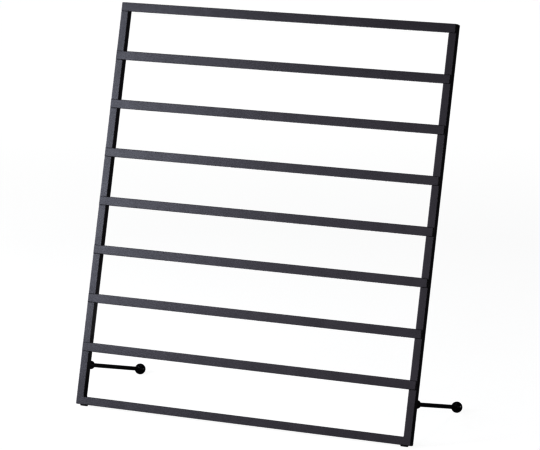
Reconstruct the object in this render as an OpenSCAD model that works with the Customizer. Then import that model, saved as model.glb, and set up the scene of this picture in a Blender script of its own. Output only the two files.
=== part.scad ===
// Leaning ladder rack: two square-tube posts and a bottom bar carry eight flat bars.
// Two screwed-in rods with ball feet prop the panel from behind, so that it stands by itself.
// Frame: +X to the right, +Y to the back, +Z up, origin on the floor under the middle of the rack.

/* [Panel] */
// Overall width across the two posts
frame_w = 660; // [480:10:800]
// Length of the panel from the underside of the bottom bar to the top of the posts
frame_h = 745; // [600:5:900]
// Clear height between the bottom bar and the lowest flat bar
bottom_gap = 84; // [60:1:120]
// Angle that the panel leans back from upright, in degrees
lean = 16; // [12:0.5:20]

/* [Square tube] */
// Outside size of the square tube
tube = 14; // [12:0.5:16]
// Wall thickness of the tube
tube_wall = 1; // [0.8:0.1:1.5]
// Outside corner radius of the tube
tube_r = 0.6; // [0.5:0.1:1.5]
// Radius ground on the two lower outer corners of the frame
corner_r = 2; // [1:0.1:2]

/* [Flat bars] */
// Height of each flat bar
bar_h = 16; // [10:0.5:20]
// Thickness of each flat bar
bar_t = 3; // [2:0.5:5]
// How far each bar ends short of the posts' outer sides
bar_inset = 1.2; // [0.5:0.1:2]
// Radius along the long edges of a bar
bar_r = 0.8; // [0.3:0.1:0.9]

/* [Rear legs] */
// Height of a leg's axis above the underside of the frame, measured along the post
leg_height = 73; // [60:1:90]
// Diameter of the leg rod
rod_d = 7; // [6.5:0.5:8]
// Diameter of the leg socket on the back of the post
socket_d = 15; // [12:0.5:16]
// Length of the leg socket behind the post
socket_len = 16.5; // [12:0.5:20]
// Diameter of the ball foot
ball_d = 20; // [16:0.5:24]

/* [Floor pads] */
// Diameter of the round pads under the bottom bar
pad_d = 13.5; // [10:0.5:13.5]
// Thickness of a pad
pad_h = 2.3; // [1.5:0.1:4]

/* [Hidden] */
RUNGS = 7;

$fn = 64;
LEFT = -1;
RIGHT = 1;
bore_r = 0.3;                 // inside corner radius of the square tube
slip = 0.05;                  // gap between a plug, stem or stud and the hole that holds it
over = 1;                     // how far a cutting shape runs past what it cuts

// Flat bars: the top one ends level with the posts, the rest step down at one pitch.
pitch = (frame_h - tube - bottom_gap - bar_h) / RUNGS;
bar_len = frame_w - 2 * bar_inset;

// Post caps.
cap_flange = 1.5;
cap_plug = 10;
cap_wall = 1.6;
cap_rib = 0.8;
cap_rib_step = 3;

// Welds.
weld_leg = 2.6;
weld_crown = 1;               // how far the bead's centre of curvature lies behind the corner
weld_len = 12;

// Floor pads: a disc with a snap-in stem through the lower wall of the bottom bar.
pad_in = 13.5;                // from the outer side of the post to the pad's centre
pad_edge = 0.5;
pad_stem_d = 5;
pad_barb_d = 6;
pad_barb_h = 1.4;
pad_worn = 0.6;               // height worn off the pad's rear edge by the floor

// Leg socket, rod and ball, all on one axis square to the panel.
socket_spigot_d = 9;
socket_edge = 1;
stud_d = 6;
stud_len = 11;
ball_collar_d = 9;            // flat face of the ball where the rod's shoulder seats
ball_worn = 0.2;              // height worn off the ball by the floor

// Height of the frame's lower front edge above the floor, from the worn edge of the pads.
edge_z = pad_h * cos(lean) + (tube / 2 + pad_d / 2 - pad_edge) * sin(lean) - pad_worn;
// How far behind the front face of the tube the ball's centre lies, so that it rests on the floor.
ball_back = (edge_z + leg_height * cos(lean) - ball_d / 2 + ball_worn) / sin(lean);
ball_seat = sqrt(pow(ball_d / 2, 2) - pow(ball_collar_d / 2, 2));
// The rack reaches from the front of its pads to the back of its balls, and is centred between.
front_y = (tube / 2 - pad_d / 2) * cos(lean) - (pad_h - pad_edge) * sin(lean);
back_y = leg_height * sin(lean) + ball_back * cos(lean) + ball_d / 2;

// ---- Placing ----

// The panel is drawn upright, X across, Y from its front face to the back, Z up from its underside.
module stand() {
    translate([0, -(front_y + back_y) / 2, edge_z]) rotate([-lean, 0, 0]) children();
}

// Draws one side's piece from the outer side of its post inward, and mirrors it for the left.
module on_side(side) {
    stand() mirror([side == RIGHT ? 0 : 1, 0, 0])
        translate([frame_w / 2, 0, 0]) mirror([1, 0, 0]) children();
}

// Turns a shape drawn up the Z axis so that it runs back along the leg's axis.
module on_leg(side) {
    on_side(side) translate([tube / 2, 0, leg_height]) rotate([-90, 0, 0]) children();
}

// What is left of a shape above the floor.
module above_floor() {
    reach = 2 * ball_d;
    difference() {
        children();
        translate([-frame_w, -frame_h, -reach]) cube([2 * frame_w, 2 * frame_h, reach]);
    }
}

// ---- Profiles ----

// A rectangle from the origin with round corners.
module rounded(w, h, r) {
    translate([r, 0]) square([w - 2 * r, h]);
    translate([0, r]) square([w, h - 2 * r]);
    for (x = [r, w - r], y = [r, h - r]) translate([x, y]) circle(r = r);
}

module tube_profile() {
    inner = tube - 2 * tube_wall;
    difference() {
        rounded(tube, tube, tube_r);
        translate([tube_wall, tube_wall]) rounded(inner, inner, bore_r);
    }
}

// A fillet weld's slightly crowned section in the corner between the X and Y axes.
module weld_profile() {
    difference() {
        translate([-weld_crown, -weld_crown])
            circle(r = sqrt(pow(weld_leg + weld_crown, 2) + pow(weld_crown, 2)));
        translate([-2 * tube, -2 * tube]) square([4 * tube, 2 * tube]);
    }
}

// ---- Welded frame ----

// The corner that the bottom bar's mitred end takes, on the inner side of the diagonal.
module mitre_below() {
    rotate([90, 0, 0]) translate([0, 0, -tube - over]) linear_extrude(tube + 2 * over)
        polygon([[-over, -over], [tube + over, tube + over], [tube + over, -over]]);
}

module mitre_above() {
    rotate([90, 0, 0]) translate([0, 0, -tube - over]) linear_extrude(tube + 2 * over)
        polygon([[-over, -over], [tube + over, tube + over], [-over, tube + over]]);
}

// The sliver of metal outside the arc that rounds the frame's outer corner.
module corner_waste() {
    rotate([90, 0, 0]) translate([0, 0, -tube - over]) linear_extrude(tube + 2 * over) difference() {
        translate([-over, -over]) square(corner_r + over);
        translate([corner_r, corner_r]) circle(r = corner_r);
    }
}

module post(side) {
    color([0.2, 0.2, 0.21]) on_side(side) difference() {
        linear_extrude(frame_h - cap_flange) tube_profile();
        mitre_below();
        corner_waste();
        translate([tube / 2, tube - tube_wall - over, leg_height]) rotate([-90, 0, 0])
            cylinder(d = socket_spigot_d + 2 * slip, h = tube_wall + 2 * over);
    }
}

module bottom_bar() {
    color([0.2, 0.2, 0.21]) difference() {
        stand() translate([-frame_w / 2, 0, 0]) rotate([90, 0, 90])
            linear_extrude(frame_w) tube_profile();
        for (side = [LEFT, RIGHT]) on_side(side) {
            mitre_above();
            corner_waste();
            translate([pad_in, tube / 2, -over])
                cylinder(d = pad_stem_d + 2 * slip, h = tube_wall + 2 * over);
        }
    }
}

// Flat bar number i below the top bar, which is number 0.
module flat_bar(i) {
    color([0.24, 0.24, 0.25]) stand()
        translate([-bar_len / 2, -bar_t, frame_h - bar_h - i * pitch])
            rotate([90, 0, 90]) linear_extrude(bar_len) rounded(bar_t, bar_h, bar_r);
}

// Each bar is welded to the inner side of the post, in the groove beside the tube's round corner.
// One more bead fills the inner corner of the frame.
module weld_beads(side) {
    color([0.15, 0.15, 0.16]) on_side(side) {
        for (i = [0:RUNGS])
            translate([0, 0, frame_h - i * pitch - (bar_h + weld_len) / 2])
                linear_extrude(weld_len) difference() {
                    translate([tube, 0]) weld_profile();
                    rounded(tube, tube, tube_r);
                }
        translate([tube, (tube + weld_len - 2 * tube_r) / 2, tube]) rotate([90, 0, 0])
            linear_extrude(weld_len - 2 * tube_r) difference() {
                weld_profile();
                translate([-2 * tube, -tube]) square([2 * tube, 2 * tube]);
            }
    }
}

// ---- Fittings ----

module post_cap(side) {
    plug = tube - 2 * tube_wall - 2 * slip;
    rib = plug + slip;
    color([0.07, 0.07, 0.07]) on_side(side) translate([0, 0, frame_h - cap_flange]) {
        linear_extrude(cap_flange) rounded(tube, tube, tube_r);
        translate([0, 0, -cap_plug]) difference() {
            union() {
                translate([(tube - plug) / 2, (tube - plug) / 2, 0])
                    linear_extrude(cap_plug) rounded(plug, plug, bore_r);
                for (z = [cap_rib_step / 2:cap_rib_step:cap_plug - cap_rib])
                    translate([(tube - rib) / 2, (tube - rib) / 2, z])
                        linear_extrude(cap_rib) rounded(rib, rib, bore_r);
            }
            hole = plug - 2 * cap_wall;
            translate([(tube - hole) / 2, (tube - hole) / 2, -over])
                linear_extrude(cap_plug) rounded(hole, hole, bore_r);
        }
    }
}

module floor_pad(side) {
    color([0.06, 0.06, 0.06]) above_floor() on_side(side) translate([pad_in, tube / 2, 0]) {
        rotate_extrude() polygon([
            [0, -pad_h], [pad_d / 2 - pad_edge, -pad_h], [pad_d / 2, pad_edge - pad_h],
            [pad_d / 2, 0], [pad_stem_d / 2, 0], [pad_stem_d / 2, tube_wall + slip],
            [pad_barb_d / 2, tube_wall + slip], [pad_stem_d / 2 - pad_edge, tube_wall + pad_barb_h],
            [0, tube_wall + pad_barb_h]]);
    }
}

module leg_socket(side) {
    hole_r = stud_d / 2 + slip;
    color([0.1, 0.1, 0.11]) on_leg(side) rotate_extrude() polygon([
        [hole_r, tube - tube_wall], [socket_spigot_d / 2, tube - tube_wall],
        [socket_spigot_d / 2, tube], [socket_d / 2, tube],
        [socket_d / 2, tube + socket_len - socket_edge],
        [socket_d / 2 - socket_edge, tube + socket_len], [hole_r, tube + socket_len]]);
}

// A rod with a threaded stud on each end, drawn as a plain cylinder.
module leg_rod(side) {
    root = tube + socket_len;
    tip = ball_back - ball_seat;
    color([0.12, 0.12, 0.13]) on_leg(side) {
        translate([0, 0, root - stud_len]) cylinder(d = stud_d, h = stud_len);
        translate([0, 0, root]) cylinder(d = rod_d, h = tip - root);
        translate([0, 0, tip]) cylinder(d = stud_d, h = stud_len);
    }
}

module ball_foot(side) {
    bore_len = stud_len + 0.5;
    color([0.04, 0.04, 0.04]) above_floor() on_leg(side) difference() {
        translate([0, 0, ball_back]) sphere(d = ball_d);
        translate([-ball_d, -ball_d, ball_back - ball_seat - ball_d])
            cube([2 * ball_d, 2 * ball_d, ball_d]);
        translate([0, 0, ball_back - ball_seat - over])
            cylinder(r = stud_d / 2 + slip, h = bore_len + over);
    }
}

// ---- Assembly ----

post(LEFT);  // left_post
post(RIGHT);  // right_post
bottom_bar();
flat_bar(0);  // top_bar
for (i = [1:RUNGS]) flat_bar(i);
post_cap(LEFT);  // left_post_cap
post_cap(RIGHT);  // right_post_cap
weld_beads(LEFT);  // left_weld_beads
weld_beads(RIGHT);  // right_weld_beads
leg_socket(LEFT);  // left_leg_socket
leg_socket(RIGHT);  // right_leg_socket
leg_rod(LEFT);  // left_leg_rod
leg_rod(RIGHT);  // right_leg_rod
ball_foot(LEFT);  // left_ball_foot
ball_foot(RIGHT);  // right_ball_foot
floor_pad(LEFT);  // left_floor_pad
floor_pad(RIGHT);  // right_floor_pad
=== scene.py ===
"""Looks of the leaning rack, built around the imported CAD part. Metres, in the part's own frame."""

import math
import random

import bmesh
import bpy
from mathutils import Matrix, Vector


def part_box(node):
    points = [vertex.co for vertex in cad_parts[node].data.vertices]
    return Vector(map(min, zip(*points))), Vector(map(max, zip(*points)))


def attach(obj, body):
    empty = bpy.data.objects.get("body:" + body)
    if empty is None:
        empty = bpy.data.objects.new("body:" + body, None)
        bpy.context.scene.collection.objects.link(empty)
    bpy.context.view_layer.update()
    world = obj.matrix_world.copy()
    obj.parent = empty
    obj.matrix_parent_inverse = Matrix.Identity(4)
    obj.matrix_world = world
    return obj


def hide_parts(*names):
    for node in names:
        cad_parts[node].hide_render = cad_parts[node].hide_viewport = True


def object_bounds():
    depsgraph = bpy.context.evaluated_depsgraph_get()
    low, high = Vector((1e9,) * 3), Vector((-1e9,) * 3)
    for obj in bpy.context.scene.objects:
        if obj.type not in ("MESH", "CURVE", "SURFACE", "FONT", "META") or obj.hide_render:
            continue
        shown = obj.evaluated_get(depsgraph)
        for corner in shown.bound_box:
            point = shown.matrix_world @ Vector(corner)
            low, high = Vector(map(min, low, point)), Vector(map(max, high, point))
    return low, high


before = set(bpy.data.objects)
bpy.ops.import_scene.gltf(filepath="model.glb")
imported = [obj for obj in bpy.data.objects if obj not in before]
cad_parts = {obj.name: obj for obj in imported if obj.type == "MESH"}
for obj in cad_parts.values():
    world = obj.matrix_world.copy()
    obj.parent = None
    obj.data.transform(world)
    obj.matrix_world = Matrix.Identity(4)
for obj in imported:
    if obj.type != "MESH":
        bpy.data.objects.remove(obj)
cad_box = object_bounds()

MM = 0.001
BODY = "root"
SIDES = ("left", "right")
RUNGS = sorted(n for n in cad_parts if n.startswith("rung_"))
FLAT_BARS = ["top_bar"] + RUNGS


# ---- The panel's own axes ----
# The panel leans back. Its pieces are drawn upright, as (across, back, up), and turned by PANEL.

def centre(node):
    low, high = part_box(node)
    return (low + high) / 2


ACROSS = Vector((1, 0, 0))
UP = (centre("top_bar") - centre(RUNGS[-1])).normalized()
BACK = UP.cross(ACROSS)
PANEL = Matrix((ACROSS, BACK, UP)).transposed()


def panel_box(node):
    """Lowest and highest corners of a CAD node along the panel's own axes."""
    turned = [PANEL.transposed() @ v.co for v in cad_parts[node].data.vertices]
    low = Vector(min(p[i] for p in turned) for i in range(3))
    high = Vector(max(p[i] for p in turned) for i in range(3))
    return low, high


# The frame's foot and outer sides, where they would meet if its lower corners weren't ground round.
FOOT = panel_box("bottom_bar")[0].z
OUTER = {"left": panel_box("left_post")[0].x, "right": panel_box("right_post")[1].x}
INWARD = {"left": 1, "right": -1}


# ---- Sizes ----

TUBE_WALL = 1 * MM
TUBE_RADIUS = 0.6 * MM
TUBE_BORE_RADIUS = 0.3 * MM
CORNER_RADIUS = 2 * MM
BAR_RADIUS = 0.8 * MM
SPIGOT_RADIUS = 4.5 * MM
SOCKET_CHAMFER = 1 * MM
STUD_RADIUS = 3 * MM
BALL_COLLAR_RADIUS = 3.9 * MM
PAD_STEM_RADIUS = 2.5 * MM
PAD_HEIGHT = 2.3 * MM
CAP_FLANGE = 1.5 * MM
WELD_LEG = 2.6 * MM
SLIP = 0.05 * MM
POLE_RADIUS = 0.02 * MM

# Steps round a rounded corner, the ground lower corner, a turned part, a ball and a hole.
CORNER_STEPS = 6
FOOT_STEPS = 8
ROUND_STEPS = 64
BALL_STEPS = 72
HOLE_STEPS = 48


# ---- Mesh helpers ----

def rounded_ring(low, high, radius, steps=CORNER_STEPS):
    """Points round a rectangle with round corners, anticlockwise from the first corner."""
    ring = []
    corners = (
        (high[0] - radius, low[1] + radius, -90),
        (high[0] - radius, high[1] - radius, 0),
        (low[0] + radius, high[1] - radius, 90),
        (low[0] + radius, low[1] + radius, 180),
    )
    for x, y, start in corners:
        for k in range(steps + 1):
            angle = math.radians(start + 90 * k / steps)
            ring.append((x + radius * math.cos(angle), y + radius * math.sin(angle)))
    return ring


def add_loft(bm, rings, closed=False):
    """Skins a list of rings of points, and caps the two ends unless the loft closes on itself."""
    rows = [[bm.verts.new(p) for p in ring] for ring in rings]
    pairs = list(zip(rows, rows[1:]))
    if closed:
        pairs.append((rows[-1], rows[0]))
    for a, b in pairs:
        for i in range(len(a)):
            j = (i + 1) % len(a)
            bm.faces.new((a[i], a[j], b[j], b[i]))
    if not closed:
        bm.faces.new(list(reversed(rows[0])))
        bm.faces.new(rows[-1])
    return rows


def lathe_rings(profile, centre_line, steps=ROUND_STEPS):
    """Rings round an axis that runs back from the panel. The profile is (radius, back) points."""
    rings = []
    for radius, back in profile:
        ring = []
        for k in range(steps):
            angle = 2 * math.pi * k / steps
            ring.append((centre_line[0] + radius * math.cos(angle), back,
                         centre_line[1] + radius * math.sin(angle)))
        rings.append(ring)
    return rings


def arc(middle, radius, start, end, steps):
    """Points on an arc as (radius, back) pairs, angles in degrees."""
    points = []
    for k in range(steps + 1):
        angle = math.radians(start + (end - start) * k / steps)
        points.append((middle[0] + radius * math.cos(angle), middle[1] + radius * math.sin(angle)))
    return points


def make_piece(name, bm, material, nodes=(), smooth_angle=40):
    """Turns a mesh drawn in the panel's axes into a piece that stands for CAD nodes."""
    bmesh.ops.remove_doubles(bm, verts=bm.verts, dist=0.001 * MM)
    bmesh.ops.recalc_face_normals(bm, faces=bm.faces)
    bmesh.ops.transform(bm, matrix=PANEL.to_4x4(), verts=bm.verts)
    mesh = bpy.data.meshes.new(name)
    bm.to_mesh(mesh)
    bm.free()
    mesh.polygons.foreach_set("use_smooth", [True] * len(mesh.polygons))
    mesh.set_sharp_from_angle(angle=math.radians(smooth_angle))
    mesh.materials.append(material)
    piece = bpy.data.objects.new(name, mesh)
    bpy.context.scene.collection.objects.link(piece)
    weighted = piece.modifiers.new("weighted_normals", "WEIGHTED_NORMAL")
    weighted.keep_sharp = True
    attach(piece, BODY)
    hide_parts(*nodes)
    return piece


def rest_on_floor(piece):
    """Presses what reaches below the floor flat on it."""
    for vertex in piece.data.vertices:
        vertex.co.z = max(vertex.co.z, 0.0)


# ---- Materials ----

class Nodes:
    """A new material's node tree, with its shader and object coordinates ready."""

    def __init__(self, name):
        self.material = bpy.data.materials.new(name)
        self.material.use_nodes = True
        self.tree = self.material.node_tree
        self.shader = self.tree.nodes["Principled BSDF"]
        self.place = self.add("ShaderNodeTexCoord").outputs["Object"]

    def add(self, kind, **settings):
        node = self.tree.nodes.new(kind)
        for key, value in settings.items():
            setattr(node, key, value)
        return node

    def link(self, out, into):
        self.tree.links.new(out, into)

    def noise(self, scale, detail=2.0, stretch=None):
        """Noise over the object, its features about 1 / scale metres across."""
        node = self.add("ShaderNodeTexNoise")
        node.inputs["Scale"].default_value = scale
        node.inputs["Detail"].default_value = detail
        place = self.place
        if stretch:
            mapping = self.add("ShaderNodeMapping")
            mapping.inputs["Scale"].default_value = stretch
            self.link(self.place, mapping.inputs["Vector"])
            place = mapping.outputs["Vector"]
        self.link(place, node.inputs["Vector"])
        return node.outputs["Fac"]

    def spread(self, source, low, high, source_low=0.3, source_high=0.7):
        """Source's range stretched over low to high."""
        node = self.add("ShaderNodeMapRange")
        for key, value in (("From Min", source_low), ("From Max", source_high),
                           ("To Min", low), ("To Max", high)):
            node.inputs[key].default_value = value
        self.link(source, node.inputs["Value"])
        return node.outputs["Result"]

    def colours(self, source, dark, light):
        node = self.add("ShaderNodeMix", data_type="RGBA")
        node.inputs["A"].default_value = (*dark, 1)
        node.inputs["B"].default_value = (*light, 1)
        self.link(source, node.inputs["Factor"])
        self.link(node.outputs["Result"], self.shader.inputs["Base Color"])

    def bump(self, layers):
        """Stacks bump layers, each (height, depth in metres)."""
        last = None
        for height, depth in layers:
            node = self.add("ShaderNodeBump")
            node.inputs["Distance"].default_value = depth
            self.link(height, node.inputs["Height"])
            if last:
                self.link(last, node.inputs["Normal"])
            last = node.outputs["Normal"]
        self.link(last, self.shader.inputs["Normal"])


def powder_coat(name, dark, light, rough_low, rough_high):
    """Fine-grained satin powder coat: orange peel about 1 mm across over a finer grain."""
    n = Nodes(name)
    n.colours(n.spread(n.noise(38, 4), 0, 1), dark, light)
    n.link(n.spread(n.noise(30, 3), rough_low, rough_high), n.shader.inputs["Roughness"])
    n.bump([(n.noise(950, 2), 0.02 * MM), (n.noise(2600, 1), 0.008 * MM)])
    return n.material


def lacquer(name, dark, light, rough_low, rough_high, along):
    """Thin black lacquer over drawn steel: faint draw lines along the rod."""
    n = Nodes(name)
    n.colours(n.spread(n.noise(60, 3), 0, 1), dark, light)
    n.link(n.spread(n.noise(90, 3), rough_low, rough_high), n.shader.inputs["Roughness"])
    n.bump([(n.noise(1, 2, stretch=along), 0.01 * MM), (n.noise(1300, 2), 0.01 * MM)])
    return n.material


def moulded(name, dark, light, rough_low, rough_high, grain, depth):
    """Moulded plastic or rubber, with its grain size as 1 / metres and its depth."""
    n = Nodes(name)
    n.colours(n.spread(n.noise(80, 3), 0, 1), dark, light)
    n.link(n.spread(n.noise(140, 3), rough_low, rough_high), n.shader.inputs["Roughness"])
    n.bump([(n.noise(grain, 2), depth)])
    return n.material


COAT_ROUGH = (0.408, 0.432)
COAT_DARK = (0.024, 0.022, 0.027)
COAT_LIGHT = (0.034, 0.031, 0.037)

COAT = powder_coat("powder_coat", COAT_DARK, COAT_LIGHT, *COAT_ROUGH)
WELD_COAT = powder_coat("coated_weld", COAT_DARK, COAT_LIGHT, 0.36, 0.46)
LACQUER = lacquer("black_lacquer", (0.012, 0.011, 0.013), (0.02, 0.019, 0.021), 0.3, 0.38,
                  (1500, 12, 1500))
BALL_PLASTIC = moulded("gloss_plastic", (0.008, 0.008, 0.009), (0.013, 0.013, 0.014), 0.2, 0.26,
                       1800, 0.003 * MM)
CAP_PLASTIC = moulded("matte_plastic", (0.02, 0.02, 0.021), (0.03, 0.03, 0.031), 0.48, 0.58,
                      2400, 0.03 * MM)
PAD_RUBBER = moulded("rubber", (0.016, 0.016, 0.016), (0.026, 0.026, 0.026), 0.62, 0.75,
                     1600, 0.05 * MM)


# ---- Welded frame ----

def tube_heights(start, end, stations):
    """Heights from start to end: close together over the ground corner, then evenly apart."""
    steps = [CORNER_RADIUS * k / FOOT_STEPS for k in range(FOOT_STEPS + 1)]
    foot = start + steps[-1]
    return [start + step for step in steps] + [
        foot + (end - foot) * k / stations for k in range(1, stations + 1)]


def tube_rings(low, high, radius, start, end, stations=24):
    """Rings of a square tube's skin. start gives each point's lowest height from its place across."""
    section = rounded_ring(low, high, radius)
    columns = [tube_heights(start(x), end, stations) for x, y in section]
    rows = range(FOOT_STEPS + stations + 1)
    return [[(x, y, column[k]) for (x, y), column in zip(section, columns)] for k in rows]


def round_corner(bm, side):
    """Pulls what lies outside the ground lower corner's arc in to the arc."""
    for vertex in bm.verts:
        across = CORNER_RADIUS - (vertex.co.x - OUTER[side]) * INWARD[side]
        up = CORNER_RADIUS - (vertex.co.z - FOOT)
        reach = math.hypot(across, up)
        if across > 0 and up > 0 and reach > CORNER_RADIUS:
            pull = CORNER_RADIUS / reach
            vertex.co.x = OUTER[side] + (CORNER_RADIUS - across * pull) * INWARD[side]
            vertex.co.z = FOOT + CORNER_RADIUS - up * pull


def cut_hole(piece, point, axis, radius):
    """Cuts a round hole through a wall of the piece, at a point given in the panel's axes."""
    bm = bmesh.new()
    turn = Vector((0, 0, 1)).rotation_difference(PANEL @ Vector(axis)).to_matrix().to_4x4()
    bmesh.ops.create_cone(bm, cap_ends=True, segments=HOLE_STEPS, radius1=radius, radius2=radius,
                          depth=2 * TUBE_WALL, matrix=Matrix.Translation(PANEL @ Vector(point)) @ turn)
    mesh = bpy.data.meshes.new("cutter")
    bm.to_mesh(mesh)
    bm.free()
    cutter = bpy.data.objects.new("cutter", mesh)
    bpy.context.scene.collection.objects.link(cutter)
    boolean = piece.modifiers.new("hole", "BOOLEAN")
    boolean.operation = "DIFFERENCE"
    boolean.solver = "EXACT"
    boolean.object = cutter
    piece.modifiers.move(len(piece.modifiers) - 1, 0)
    bpy.context.view_layer.update()
    shape = bpy.data.meshes.new_from_object(piece.evaluated_get(bpy.context.evaluated_depsgraph_get()))
    piece.modifiers.remove(boolean)
    shape.name = piece.name
    piece.data = shape
    bpy.data.objects.remove(cutter)
    bpy.data.meshes.remove(mesh)


def build_post(side):
    """A square tube, mitred at its foot, with a hole for the leg's socket in its rear wall."""
    low, high = panel_box(f"{side}_post")
    inner_low = (low.x + TUBE_WALL, low.y + TUBE_WALL)
    inner_high = (high.x - TUBE_WALL, high.y - TUBE_WALL)

    def mitre(x):
        return FOOT + abs(x - OUTER[side])

    outside = tube_rings(low, high, TUBE_RADIUS, mitre, high.z)
    inside = tube_rings(inner_low, inner_high, TUBE_BORE_RADIUS, mitre, high.z)
    bm = bmesh.new()
    add_loft(bm, outside + list(reversed(inside)), closed=True)
    round_corner(bm, side)
    post = make_piece(f"{side}_post_coated", bm, COAT, [f"{side}_post"])
    across, up = leg_axis(side)
    cut_hole(post, (across, high.y - TUBE_WALL / 2, up), (0, 1, 0), SPIGOT_RADIUS)
    return post


def build_bottom_bar():
    """A square tube across the foot, mitred at both ends, with a hole for each floor pad."""
    low, high = panel_box("bottom_bar")
    middle = (OUTER["left"] + OUTER["right"]) / 2
    half_stations = 12
    skins = []
    for wall, radius in ((0, TUBE_RADIUS), (TUBE_WALL, TUBE_BORE_RADIUS)):
        section = rounded_ring((low.y + wall, low.z + wall), (high.y - wall, high.z - wall), radius)
        columns = []
        for y, z in section:
            half = tube_heights(OUTER["left"] + z - FOOT, middle, half_stations)
            columns.append(half + [2 * middle - x for x in reversed(half[:-1])])
        skins.append([[(column[k], y, z) for (y, z), column in zip(section, columns)]
                      for k in range(len(columns[0]))])
    bm = bmesh.new()
    add_loft(bm, skins[0] + list(reversed(skins[1])), closed=True)
    for side in SIDES:
        round_corner(bm, side)
    bar = make_piece("bottom_bar_coated", bm, COAT, ["bottom_bar"])
    for side in SIDES:
        pad_low, pad_high = panel_box(f"{side}_floor_pad")
        across = (pad_low.x + pad_high.x) / 2
        cut_hole(bar, (across, (low.y + high.y) / 2, FOOT + TUBE_WALL / 2), (0, 0, 1), PAD_STEM_RADIUS)
    return bar


def build_flat_bar(node):
    """A flat bar with rolled long edges and lightly dressed ends."""
    low, high = panel_box(node)
    stations = 32
    edge_steps = 4
    edge_taper = 0.8
    least_radius = 0.1 * MM
    turns = [math.radians(90 * k / edge_steps) for k in range(edge_steps + 1)]
    dressing = [(BAR_RADIUS * (1 - math.cos(t)), BAR_RADIUS * (1 - math.sin(t))) for t in turns]
    places = [(low.x + depth, inset) for depth, inset in dressing]
    places += [(low.x + (high.x - low.x) * k / stations, 0) for k in range(1, stations)]
    places += [(high.x - depth, inset) for depth, inset in reversed(dressing)]
    rings = []
    for x, inset in places:
        radius = max(BAR_RADIUS - inset * edge_taper, least_radius)
        section_low = (low.y + inset, low.z + inset)
        section_high = (high.y - inset, high.z - inset)
        section = rounded_ring(section_low, section_high, radius, edge_steps)
        rings.append([(x, y, z) for y, z in section])
    bm = bmesh.new()
    add_loft(bm, rings)
    return make_piece(f"{node}_coated", bm, COAT, [node])


# A bead's form. Lengths are shares of its leg, and the ends run out over a share of its length.
BEAD_RIPPLES = 9
BEAD_STEPS_PER_RIPPLE = 5
BEAD_ARC_STEPS = 8
BEAD_END_LEG = 0.45
BEAD_RUNOUT = 0.25
BEAD_RIPPLE_DEPTH = 0.07
BEAD_WOBBLE = 0.05
BEAD_WOBBLE_TURNS = 3.1
BEAD_WOBBLE_PHASE = 6
BEAD_CROWN = 0.14
BEAD_LAG = 0.25
BEAD_ROOT = 0.45 * MM
BEAD_SEEDS = {"left": 7, "right": 11}
BAR_BEAD_SHARE = 0.8
CORNER_BEAD_SHARE = 0.7


def add_bead(bm, corner, away, out, along, length, rng):
    """A fillet weld laid as overlapping ripples along a corner, its ends running out."""
    rings = []
    count = BEAD_RIPPLES * BEAD_STEPS_PER_RIPPLE
    phase = rng.random()
    for k in range(count + 1):
        share = k / count
        runout = min(1, share / BEAD_RUNOUT, (1 - share) / BEAD_RUNOUT)
        ripple = 0.5 - 0.5 * math.cos(2 * math.pi * ((k / BEAD_STEPS_PER_RIPPLE + phase) % 1.0))
        full_leg = WELD_LEG * (BEAD_END_LEG + (1 - BEAD_END_LEG) * math.sqrt(max(runout, 0)))
        leg = full_leg * (1 - BEAD_RIPPLE_DEPTH + BEAD_RIPPLE_DEPTH * ripple)
        swing = math.sin(BEAD_WOBBLE_TURNS * share * math.pi + BEAD_WOBBLE_PHASE * phase)
        wobble = BEAD_WOBBLE * WELD_LEG * swing
        base = corner + along * (length * (share - 0.5))
        ring = []
        for j in range(BEAD_ARC_STEPS + 1):
            t = j / BEAD_ARC_STEPS
            bulge = math.sin(math.pi * t)
            crown = BEAD_CROWN * leg * bulge
            a = leg * (1 - t) + crown + wobble * (1 - t)
            b = leg * t + crown
            lag = along * (BEAD_LAG * WELD_LEG * bulge)
            ring.append(base + away * a + out * b + lag)
        ring.append(base - away * BEAD_ROOT + out * (leg / 2))
        ring.append(base - away * BEAD_ROOT)
        rings.append(ring)
    add_loft(bm, rings)


def build_weld_beads(side):
    """A bead behind each flat bar at the post's inner side, and one in the lower inner corner."""
    rng = random.Random(BEAD_SEEDS[side])
    post_low, post_high = panel_box(f"{side}_post")
    inner = post_high.x if side == "left" else post_low.x
    away = Vector((INWARD[side], 0, 0))
    back = Vector((0, 1, 0))
    up = Vector((0, 0, 1))
    bm = bmesh.new()
    for node in FLAT_BARS:
        low, high = panel_box(node)
        corner = Vector((inner, high.y, (low.z + high.z) / 2))
        add_bead(bm, corner, away, back, up, BAR_BEAD_SHARE * (high.z - low.z), rng)
    low, high = panel_box("bottom_bar")
    corner = Vector((inner, (low.y + high.y) / 2, high.z))
    add_bead(bm, corner, away, up, back, CORNER_BEAD_SHARE * (high.y - low.y), rng)
    return make_piece(f"{side}_welds_coated", bm, WELD_COAT, [f"{side}_weld_beads"])


# ---- Fittings ----

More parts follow.
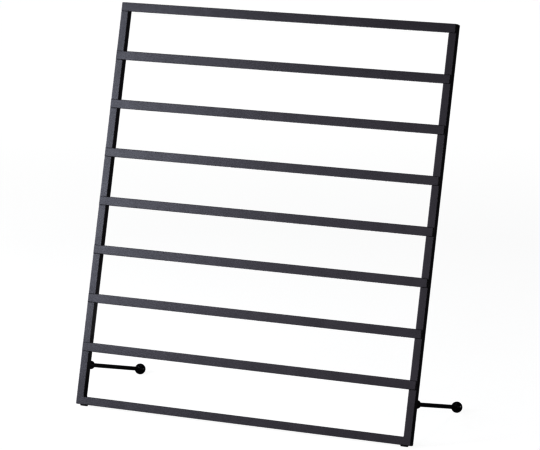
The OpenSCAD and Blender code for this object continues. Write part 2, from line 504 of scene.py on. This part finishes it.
def build_cap(side):
    """A push-in plug: its flange closes the tube's top, and its ribbed stem sits inside."""
    low, high = panel_box(f"{side}_post_cap")
    edge = 0.45 * MM
    lead_in = 0.6 * MM
    rings = []

    def ring(inset, height, radius):
        section = rounded_ring((low.x + inset, low.y + inset), (high.x - inset, high.y - inset), radius)
        rings.append([(x, y, height) for x, y in section])

    stem = TUBE_WALL + SLIP
    flange = high.z - CAP_FLANGE
    rib_pitch = 3 * MM
    rib = 0.8 * MM
    ring(stem + lead_in, low.z, TUBE_BORE_RADIUS)
    ring(stem, low.z + lead_in, TUBE_BORE_RADIUS)
    height = low.z + rib_pitch / 2
    while height + rib < flange:
        ring(stem, height, TUBE_BORE_RADIUS)
        ring(TUBE_WALL, height + rib / 3, TUBE_BORE_RADIUS)
        ring(TUBE_WALL, height + 2 * rib / 3, TUBE_BORE_RADIUS)
        ring(stem, height + rib, TUBE_BORE_RADIUS)
        height += rib_pitch
    ring(stem, flange, TUBE_BORE_RADIUS)
    ring(0, flange, TUBE_RADIUS)
    for k in range(CORNER_STEPS + 1):
        angle = math.radians(90 * k / CORNER_STEPS)
        inset = edge * (1 - math.cos(angle))
        ring(inset, high.z - edge + edge * math.sin(angle), TUBE_RADIUS - inset)
    bm = bmesh.new()
    add_loft(bm, rings)
    return make_piece(f"{side}_cap_moulded", bm, CAP_PLASTIC, [f"{side}_post_cap"])


def leg_axis(side):
    """Where the leg's axis passes, as (across, up) in the panel's axes."""
    low, high = panel_box(f"{side}_leg_rod")
    middle = (low + high) / 2
    return middle.x, middle.z


def build_socket(side):
    """A turned boss with a spigot through the post's wall and two fine turned lines."""
    low, high = panel_box(f"{side}_leg_socket")
    post_back = panel_box(f"{side}_post")[1].y
    radius = (high.x - low.x) / 2
    chamfer = SOCKET_CHAMFER
    soft = 0.25 * MM
    bore = STUD_RADIUS + SLIP
    line_shares = (0.3, 0.62)
    line_depth = 0.18 * MM
    line_half = 0.3 * MM
    profile = [(bore, low.y), (SPIGOT_RADIUS, low.y), (SPIGOT_RADIUS, post_back),
               (radius - soft, post_back)]
    profile += arc((radius - soft, post_back + soft), soft, -90, 0, 4)[1:]
    for share in line_shares:
        middle = post_back + (high.y - chamfer - post_back) * share
        profile += [(radius, middle - line_half), (radius - line_depth, middle - line_half / 3),
                    (radius - line_depth, middle + line_half / 3), (radius, middle + line_half)]
    profile += [(radius, high.y - chamfer - soft / 2), (radius - soft / 4, high.y - chamfer + soft / 4),
                (radius - chamfer + soft / 4, high.y - soft / 4), (radius - chamfer - soft / 2, high.y),
                (bore + soft, high.y), (bore, high.y - soft)]
    bm = bmesh.new()
    add_loft(bm, lathe_rings(profile, leg_axis(side)), closed=True)
    return make_piece(f"{side}_socket_turned", bm, LACQUER, [f"{side}_leg_socket"], 35)


def build_rod(side):
    """A straight rod, its shank rounded off where it meets the socket and the ball."""
    low, high = panel_box(f"{side}_leg_rod")
    radius = (high.x - low.x) / 2
    socket_end = panel_box(f"{side}_leg_socket")[1].y
    ball_start = panel_box(f"{side}_ball_foot")[0].y
    soft = 0.5 * MM
    soft_steps = 5
    profile = [(STUD_RADIUS - soft, low.y), (STUD_RADIUS, low.y + soft), (STUD_RADIUS, socket_end),
               (radius - soft, socket_end)]
    profile += arc((radius - soft, socket_end + soft), soft, -90, 0, soft_steps)[1:]
    stations = 12
    for k in range(1, stations):
        profile.append((radius, socket_end + (ball_start - socket_end) * k / stations))
    profile += arc((radius - soft, ball_start - soft), soft, 0, 90, soft_steps)
    profile += [(STUD_RADIUS, ball_start), (STUD_RADIUS, high.y - soft), (STUD_RADIUS - soft, high.y)]
    bm = bmesh.new()
    add_loft(bm, lathe_rings(profile, leg_axis(side)))
    return make_piece(f"{side}_rod_lacquered", bm, LACQUER, [f"{side}_leg_rod"], 35)


def build_ball(side):
    """A moulded ball with a flat seat for the rod, a blind bore and a fine parting line."""
    low, high = panel_box(f"{side}_ball_foot")
    radius = (high.x - low.x) / 2
    middle = high.y - radius
    seat_angle = math.degrees(math.acos(BALL_COLLAR_RADIUS / radius))
    seat = middle - radius * math.sin(math.radians(seat_angle))
    seat_edge = 0.2 * MM
    bore = STUD_RADIUS + SLIP
    bore_end = seat + 11.5 * MM
    steps = 44
    line_height = 0.06 * MM
    line_degrees = 1.6
    profile = [(POLE_RADIUS, bore_end), (bore, bore_end), (bore, seat),
               (BALL_COLLAR_RADIUS - seat_edge, seat)]
    for k in range(steps):
        angle = -seat_angle + (90 + seat_angle) * (k + 0.25) / steps
        r = radius + line_height * math.exp(-(angle / line_degrees) ** 2)
        profile.append((max(r * math.cos(math.radians(angle)), POLE_RADIUS),
                        middle + r * math.sin(math.radians(angle))))
    bm = bmesh.new()
    add_loft(bm, lathe_rings(profile, leg_axis(side), BALL_STEPS))
    nodes = [f"{side}_ball_foot"]
    ball = make_piece(f"{side}_ball_moulded", bm, BALL_PLASTIC, nodes, 35)
    rest_on_floor(ball)
    return ball


def build_pad(side):
    """A rubber glide: a soft-edged disc with a stem pushed through the bar's lower wall."""
    low, high = panel_box(f"{side}_floor_pad")
    bar_low, bar_high = panel_box("bottom_bar")
    radius = (high.x - low.x) / 2
    soft = 0.7 * MM
    bevel = 0.2 * MM
    dish_share = 0.55
    dish_depth = 0.1 * MM
    dish_middle_depth = 0.15 * MM
    barb_width = 0.5 * MM
    sole = FOOT - PAD_HEIGHT
    barb = FOOT + TUBE_WALL + SLIP
    middle = ((low.x + high.x) / 2, (bar_low.y + bar_high.y) / 2)
    profile = [(POLE_RADIUS, sole + dish_middle_depth), (radius * dish_share, sole + dish_depth),
               (radius - soft, sole)]
    profile += arc((radius - soft, sole + soft), soft, -90, 0, CORNER_STEPS)[1:]
    profile += [(radius, FOOT - bevel), (radius - bevel, FOOT), (PAD_STEM_RADIUS, FOOT),
                (PAD_STEM_RADIUS, barb), (PAD_STEM_RADIUS + barb_width, barb),
                (PAD_STEM_RADIUS - barb_width, high.z), (POLE_RADIUS, high.z)]
    angles = [2 * math.pi * k / ROUND_STEPS for k in range(ROUND_STEPS)]
    rings = []
    for r, height in profile:
        rings.append([(middle[0] + r * math.cos(a), middle[1] + r * math.sin(a), height)
                      for a in angles])
    bm = bmesh.new()
    add_loft(bm, rings)
    pad = make_piece(f"{side}_pad_rubber", bm, PAD_RUBBER, [f"{side}_floor_pad"])
    rest_on_floor(pad)
    return pad


# ---- Stage, light and camera ----

def direction(azimuth, elevation):
    """A unit vector. Azimuth 0 points forward from the rack's front, and 90 to its right."""
    a, e = math.radians(azimuth), math.radians(elevation)
    return Vector((math.sin(a) * math.cos(e), -math.cos(a) * math.cos(e), math.sin(e)))


# The key and the fill stand where the panel's front mirrors them into the camera.
KEY_REACH = 1.24
KEY_OFF = 0.1
KEY_RAISE = 0.06
KEY_SIZE = (0.52, 1.03)
KEY_POWER = 22.0
KEY_COLOUR = (0.87, 0.93, 1.0)
FILL_REACH = 3.1
FILL_SHIFT = (0.52, -0.18)
FILL_SIZE = (2.06, 1.86)
FILL_POWER = 69.0
FILL_COLOUR = (0.96, 0.91, 1.0)

# Dim white lights that put a low sheen on the other faces: place, point faced, size and power.
MIDDLE = (Vector(cad_box[0]) + Vector(cad_box[1])) / 2
SHEEN_LIGHTS = {
    "right": (direction(104, 8) * 2.0, (0, 0, 0.28), (0.6, 0.5), 11.0),
    "left": (direction(-100, 12) * 2.0, (0, 0, 0.4), (1.2, 0.8), 10.0),
    "across": (MIDDLE + direction(50, 14) * 3.0, MIDDLE, (2.0, 1.6), 15.0),
    "top": ((0, 0.2, 2.4), (0, 0, 0), (0.7, 0.7), 6.0),
    "under": ((0, 0.38, 0.002), (0, 0.38, 1), (0.6, 0.9), 8.0),
    "ground": ((0.02, 0.48, 0.002), (0.02, 0.48, 1), (0.42, 0.84), 1.1),
}
UNDER_SPREAD = 90

ROOM_LIGHT = 0.04
ROOM_COLOUR = (0.9, 0.88, 1.0)

# The floor's own glow rises from near to far of the origin, in metres.
FLOOR_SHADE = 0.08
FLOOR_GLOW = 0.955
FLOOR_NEAR = 1.5
FLOOR_FAR = 3.0


def stage_floor():
    """A pale floor, near white all over, with just enough shade in it to take a faint soft shadow."""
    reach = 40.0
    mesh = bpy.data.meshes.new("floor")
    mesh.from_pydata([(-reach, -reach, 0), (reach, -reach, 0), (reach, reach, 0), (-reach, reach, 0)],
                     [], [(0, 1, 2, 3)])
    floor = bpy.data.objects.new("floor", mesh)
    bpy.context.scene.collection.objects.link(floor)
    n = Nodes("pale_floor")
    n.shader.inputs["Base Color"].default_value = (FLOOR_SHADE, FLOOR_SHADE, FLOOR_SHADE, 1)
    n.shader.inputs["Roughness"].default_value = 1.0
    n.shader.inputs["Specular IOR Level"].default_value = 0.0
    n.shader.inputs["Emission Color"].default_value = (1, 1, 1, 1)
    away = n.add("ShaderNodeVectorMath", operation="LENGTH")
    n.link(n.place, away.inputs[0])
    glow = n.spread(away.outputs["Value"], FLOOR_GLOW, 1.0, FLOOR_NEAR, FLOOR_FAR)
    n.link(glow, n.shader.inputs["Emission Strength"])
    mesh.materials.append(n.material)
    floor.visible_glossy = False
    floor.visible_diffuse = False


def pale_surround():
    """White where the camera looks past the floor, and a dim grey room for the object."""
    world = bpy.data.worlds.new("surround")
    bpy.context.scene.world = world
    world.use_nodes = True
    tree = world.node_tree
    tree.nodes.clear()
    seen = tree.nodes.new("ShaderNodeBackground")
    seen.inputs["Color"].default_value = (1, 1, 1, 1)
    room = tree.nodes.new("ShaderNodeBackground")
    room.inputs["Color"].default_value = (*ROOM_COLOUR, 1)
    room.inputs["Strength"].default_value = ROOM_LIGHT
    path = tree.nodes.new("ShaderNodeLightPath")
    mix = tree.nodes.new("ShaderNodeMixShader")
    out = tree.nodes.new("ShaderNodeOutputWorld")
    tree.links.new(path.outputs["Is Camera Ray"], mix.inputs["Fac"])
    tree.links.new(room.outputs["Background"], mix.inputs[1])
    tree.links.new(seen.outputs["Background"], mix.inputs[2])
    tree.links.new(mix.outputs["Shader"], out.inputs["Surface"])


def soft_light(name, place, target, size, power, colour=(1, 1, 1)):
    """A rectangular area light that the camera doesn't see."""
    data = bpy.data.lights.new(name, "AREA")
    data.shape = "RECTANGLE"
    data.size, data.size_y = size
    data.energy = power
    data.color = colour
    light = bpy.data.objects.new(name, data)
    bpy.context.scene.collection.objects.link(light)
    light.location = place
    aim = Vector(target) - Vector(place)
    light.rotation_euler = aim.to_track_quat("-Z", "Y").to_euler()
    light.visible_camera = False
    return light


# The view is aimed at a point on the tubes' front, just right of the panel's middle.
VIEW_TARGET = PANEL @ Vector((16.4 * MM, panel_box("bottom_bar")[0].y, FOOT + 361.4 * MM))
VIEW_TOWARDS = direction(24.21, 12.48)
VIEW_DISTANCE = 5.311
LENS = 197.1


def make_camera():
    """A long lens aimed at the view's target, with no shift and no depth of field."""
    data = bpy.data.cameras.new("camera")
    data.sensor_fit = "HORIZONTAL"
    data.sensor_width = 36.0
    data.lens = LENS
    data.clip_end = 100.0
    camera = bpy.data.objects.new("camera", data)
    bpy.context.scene.collection.objects.link(camera)
    camera.location = VIEW_TARGET + VIEW_TOWARDS * VIEW_DISTANCE
    camera.rotation_euler = (-VIEW_TOWARDS).to_track_quat("-Z", "Y").to_euler()
    bpy.context.scene.camera = camera


def mirrored(point):
    """The direction that the panel's front reflects from a point on it to the camera."""
    towards = (VIEW_TARGET + VIEW_TOWARDS * VIEW_DISTANCE - point).normalized()
    return 2 * BACK.dot(towards) * BACK - towards


def light_scene():
    """A tall softbox mirrored beyond the panel's left edge, a wide one over all, and low sheens."""
    front = PANEL @ ((panel_box("top_bar")[0] + panel_box("bottom_bar")[0]) / 2)
    front.x = 0
    left = front + ACROSS * (cad_box[0][0] - KEY_OFF) + UP * KEY_RAISE
    soft_light("key", left + mirrored(left) * KEY_REACH, left, KEY_SIZE, KEY_POWER, KEY_COLOUR)
    fill_place = front + mirrored(front) * FILL_REACH + ACROSS * FILL_SHIFT[0] + UP * FILL_SHIFT[1]
    soft_light("fill", fill_place, front, FILL_SIZE, FILL_POWER, FILL_COLOUR)
    sheens = {name: soft_light(name, *settings) for name, settings in SHEEN_LIGHTS.items()}
    sheens["under"].data.spread = math.radians(UNDER_SPREAD)


# Gamma 0.5 straightens the tone curve, so thin dark parts keep their width against the white floor.
scene = bpy.context.scene
scene.view_settings.view_transform = "Standard"
scene.view_settings.look = "None"
scene.view_settings.gamma = 0.5

make_camera()
for side in SIDES:
    build_post(side)
build_bottom_bar()
for node in FLAT_BARS:
    build_flat_bar(node)
for side in SIDES:
    build_weld_beads(side)
    build_cap(side)
    build_socket(side)
    build_rod(side)
    build_ball(side)
    build_pad(side)
stage_floor()
pale_surround()
light_scene()
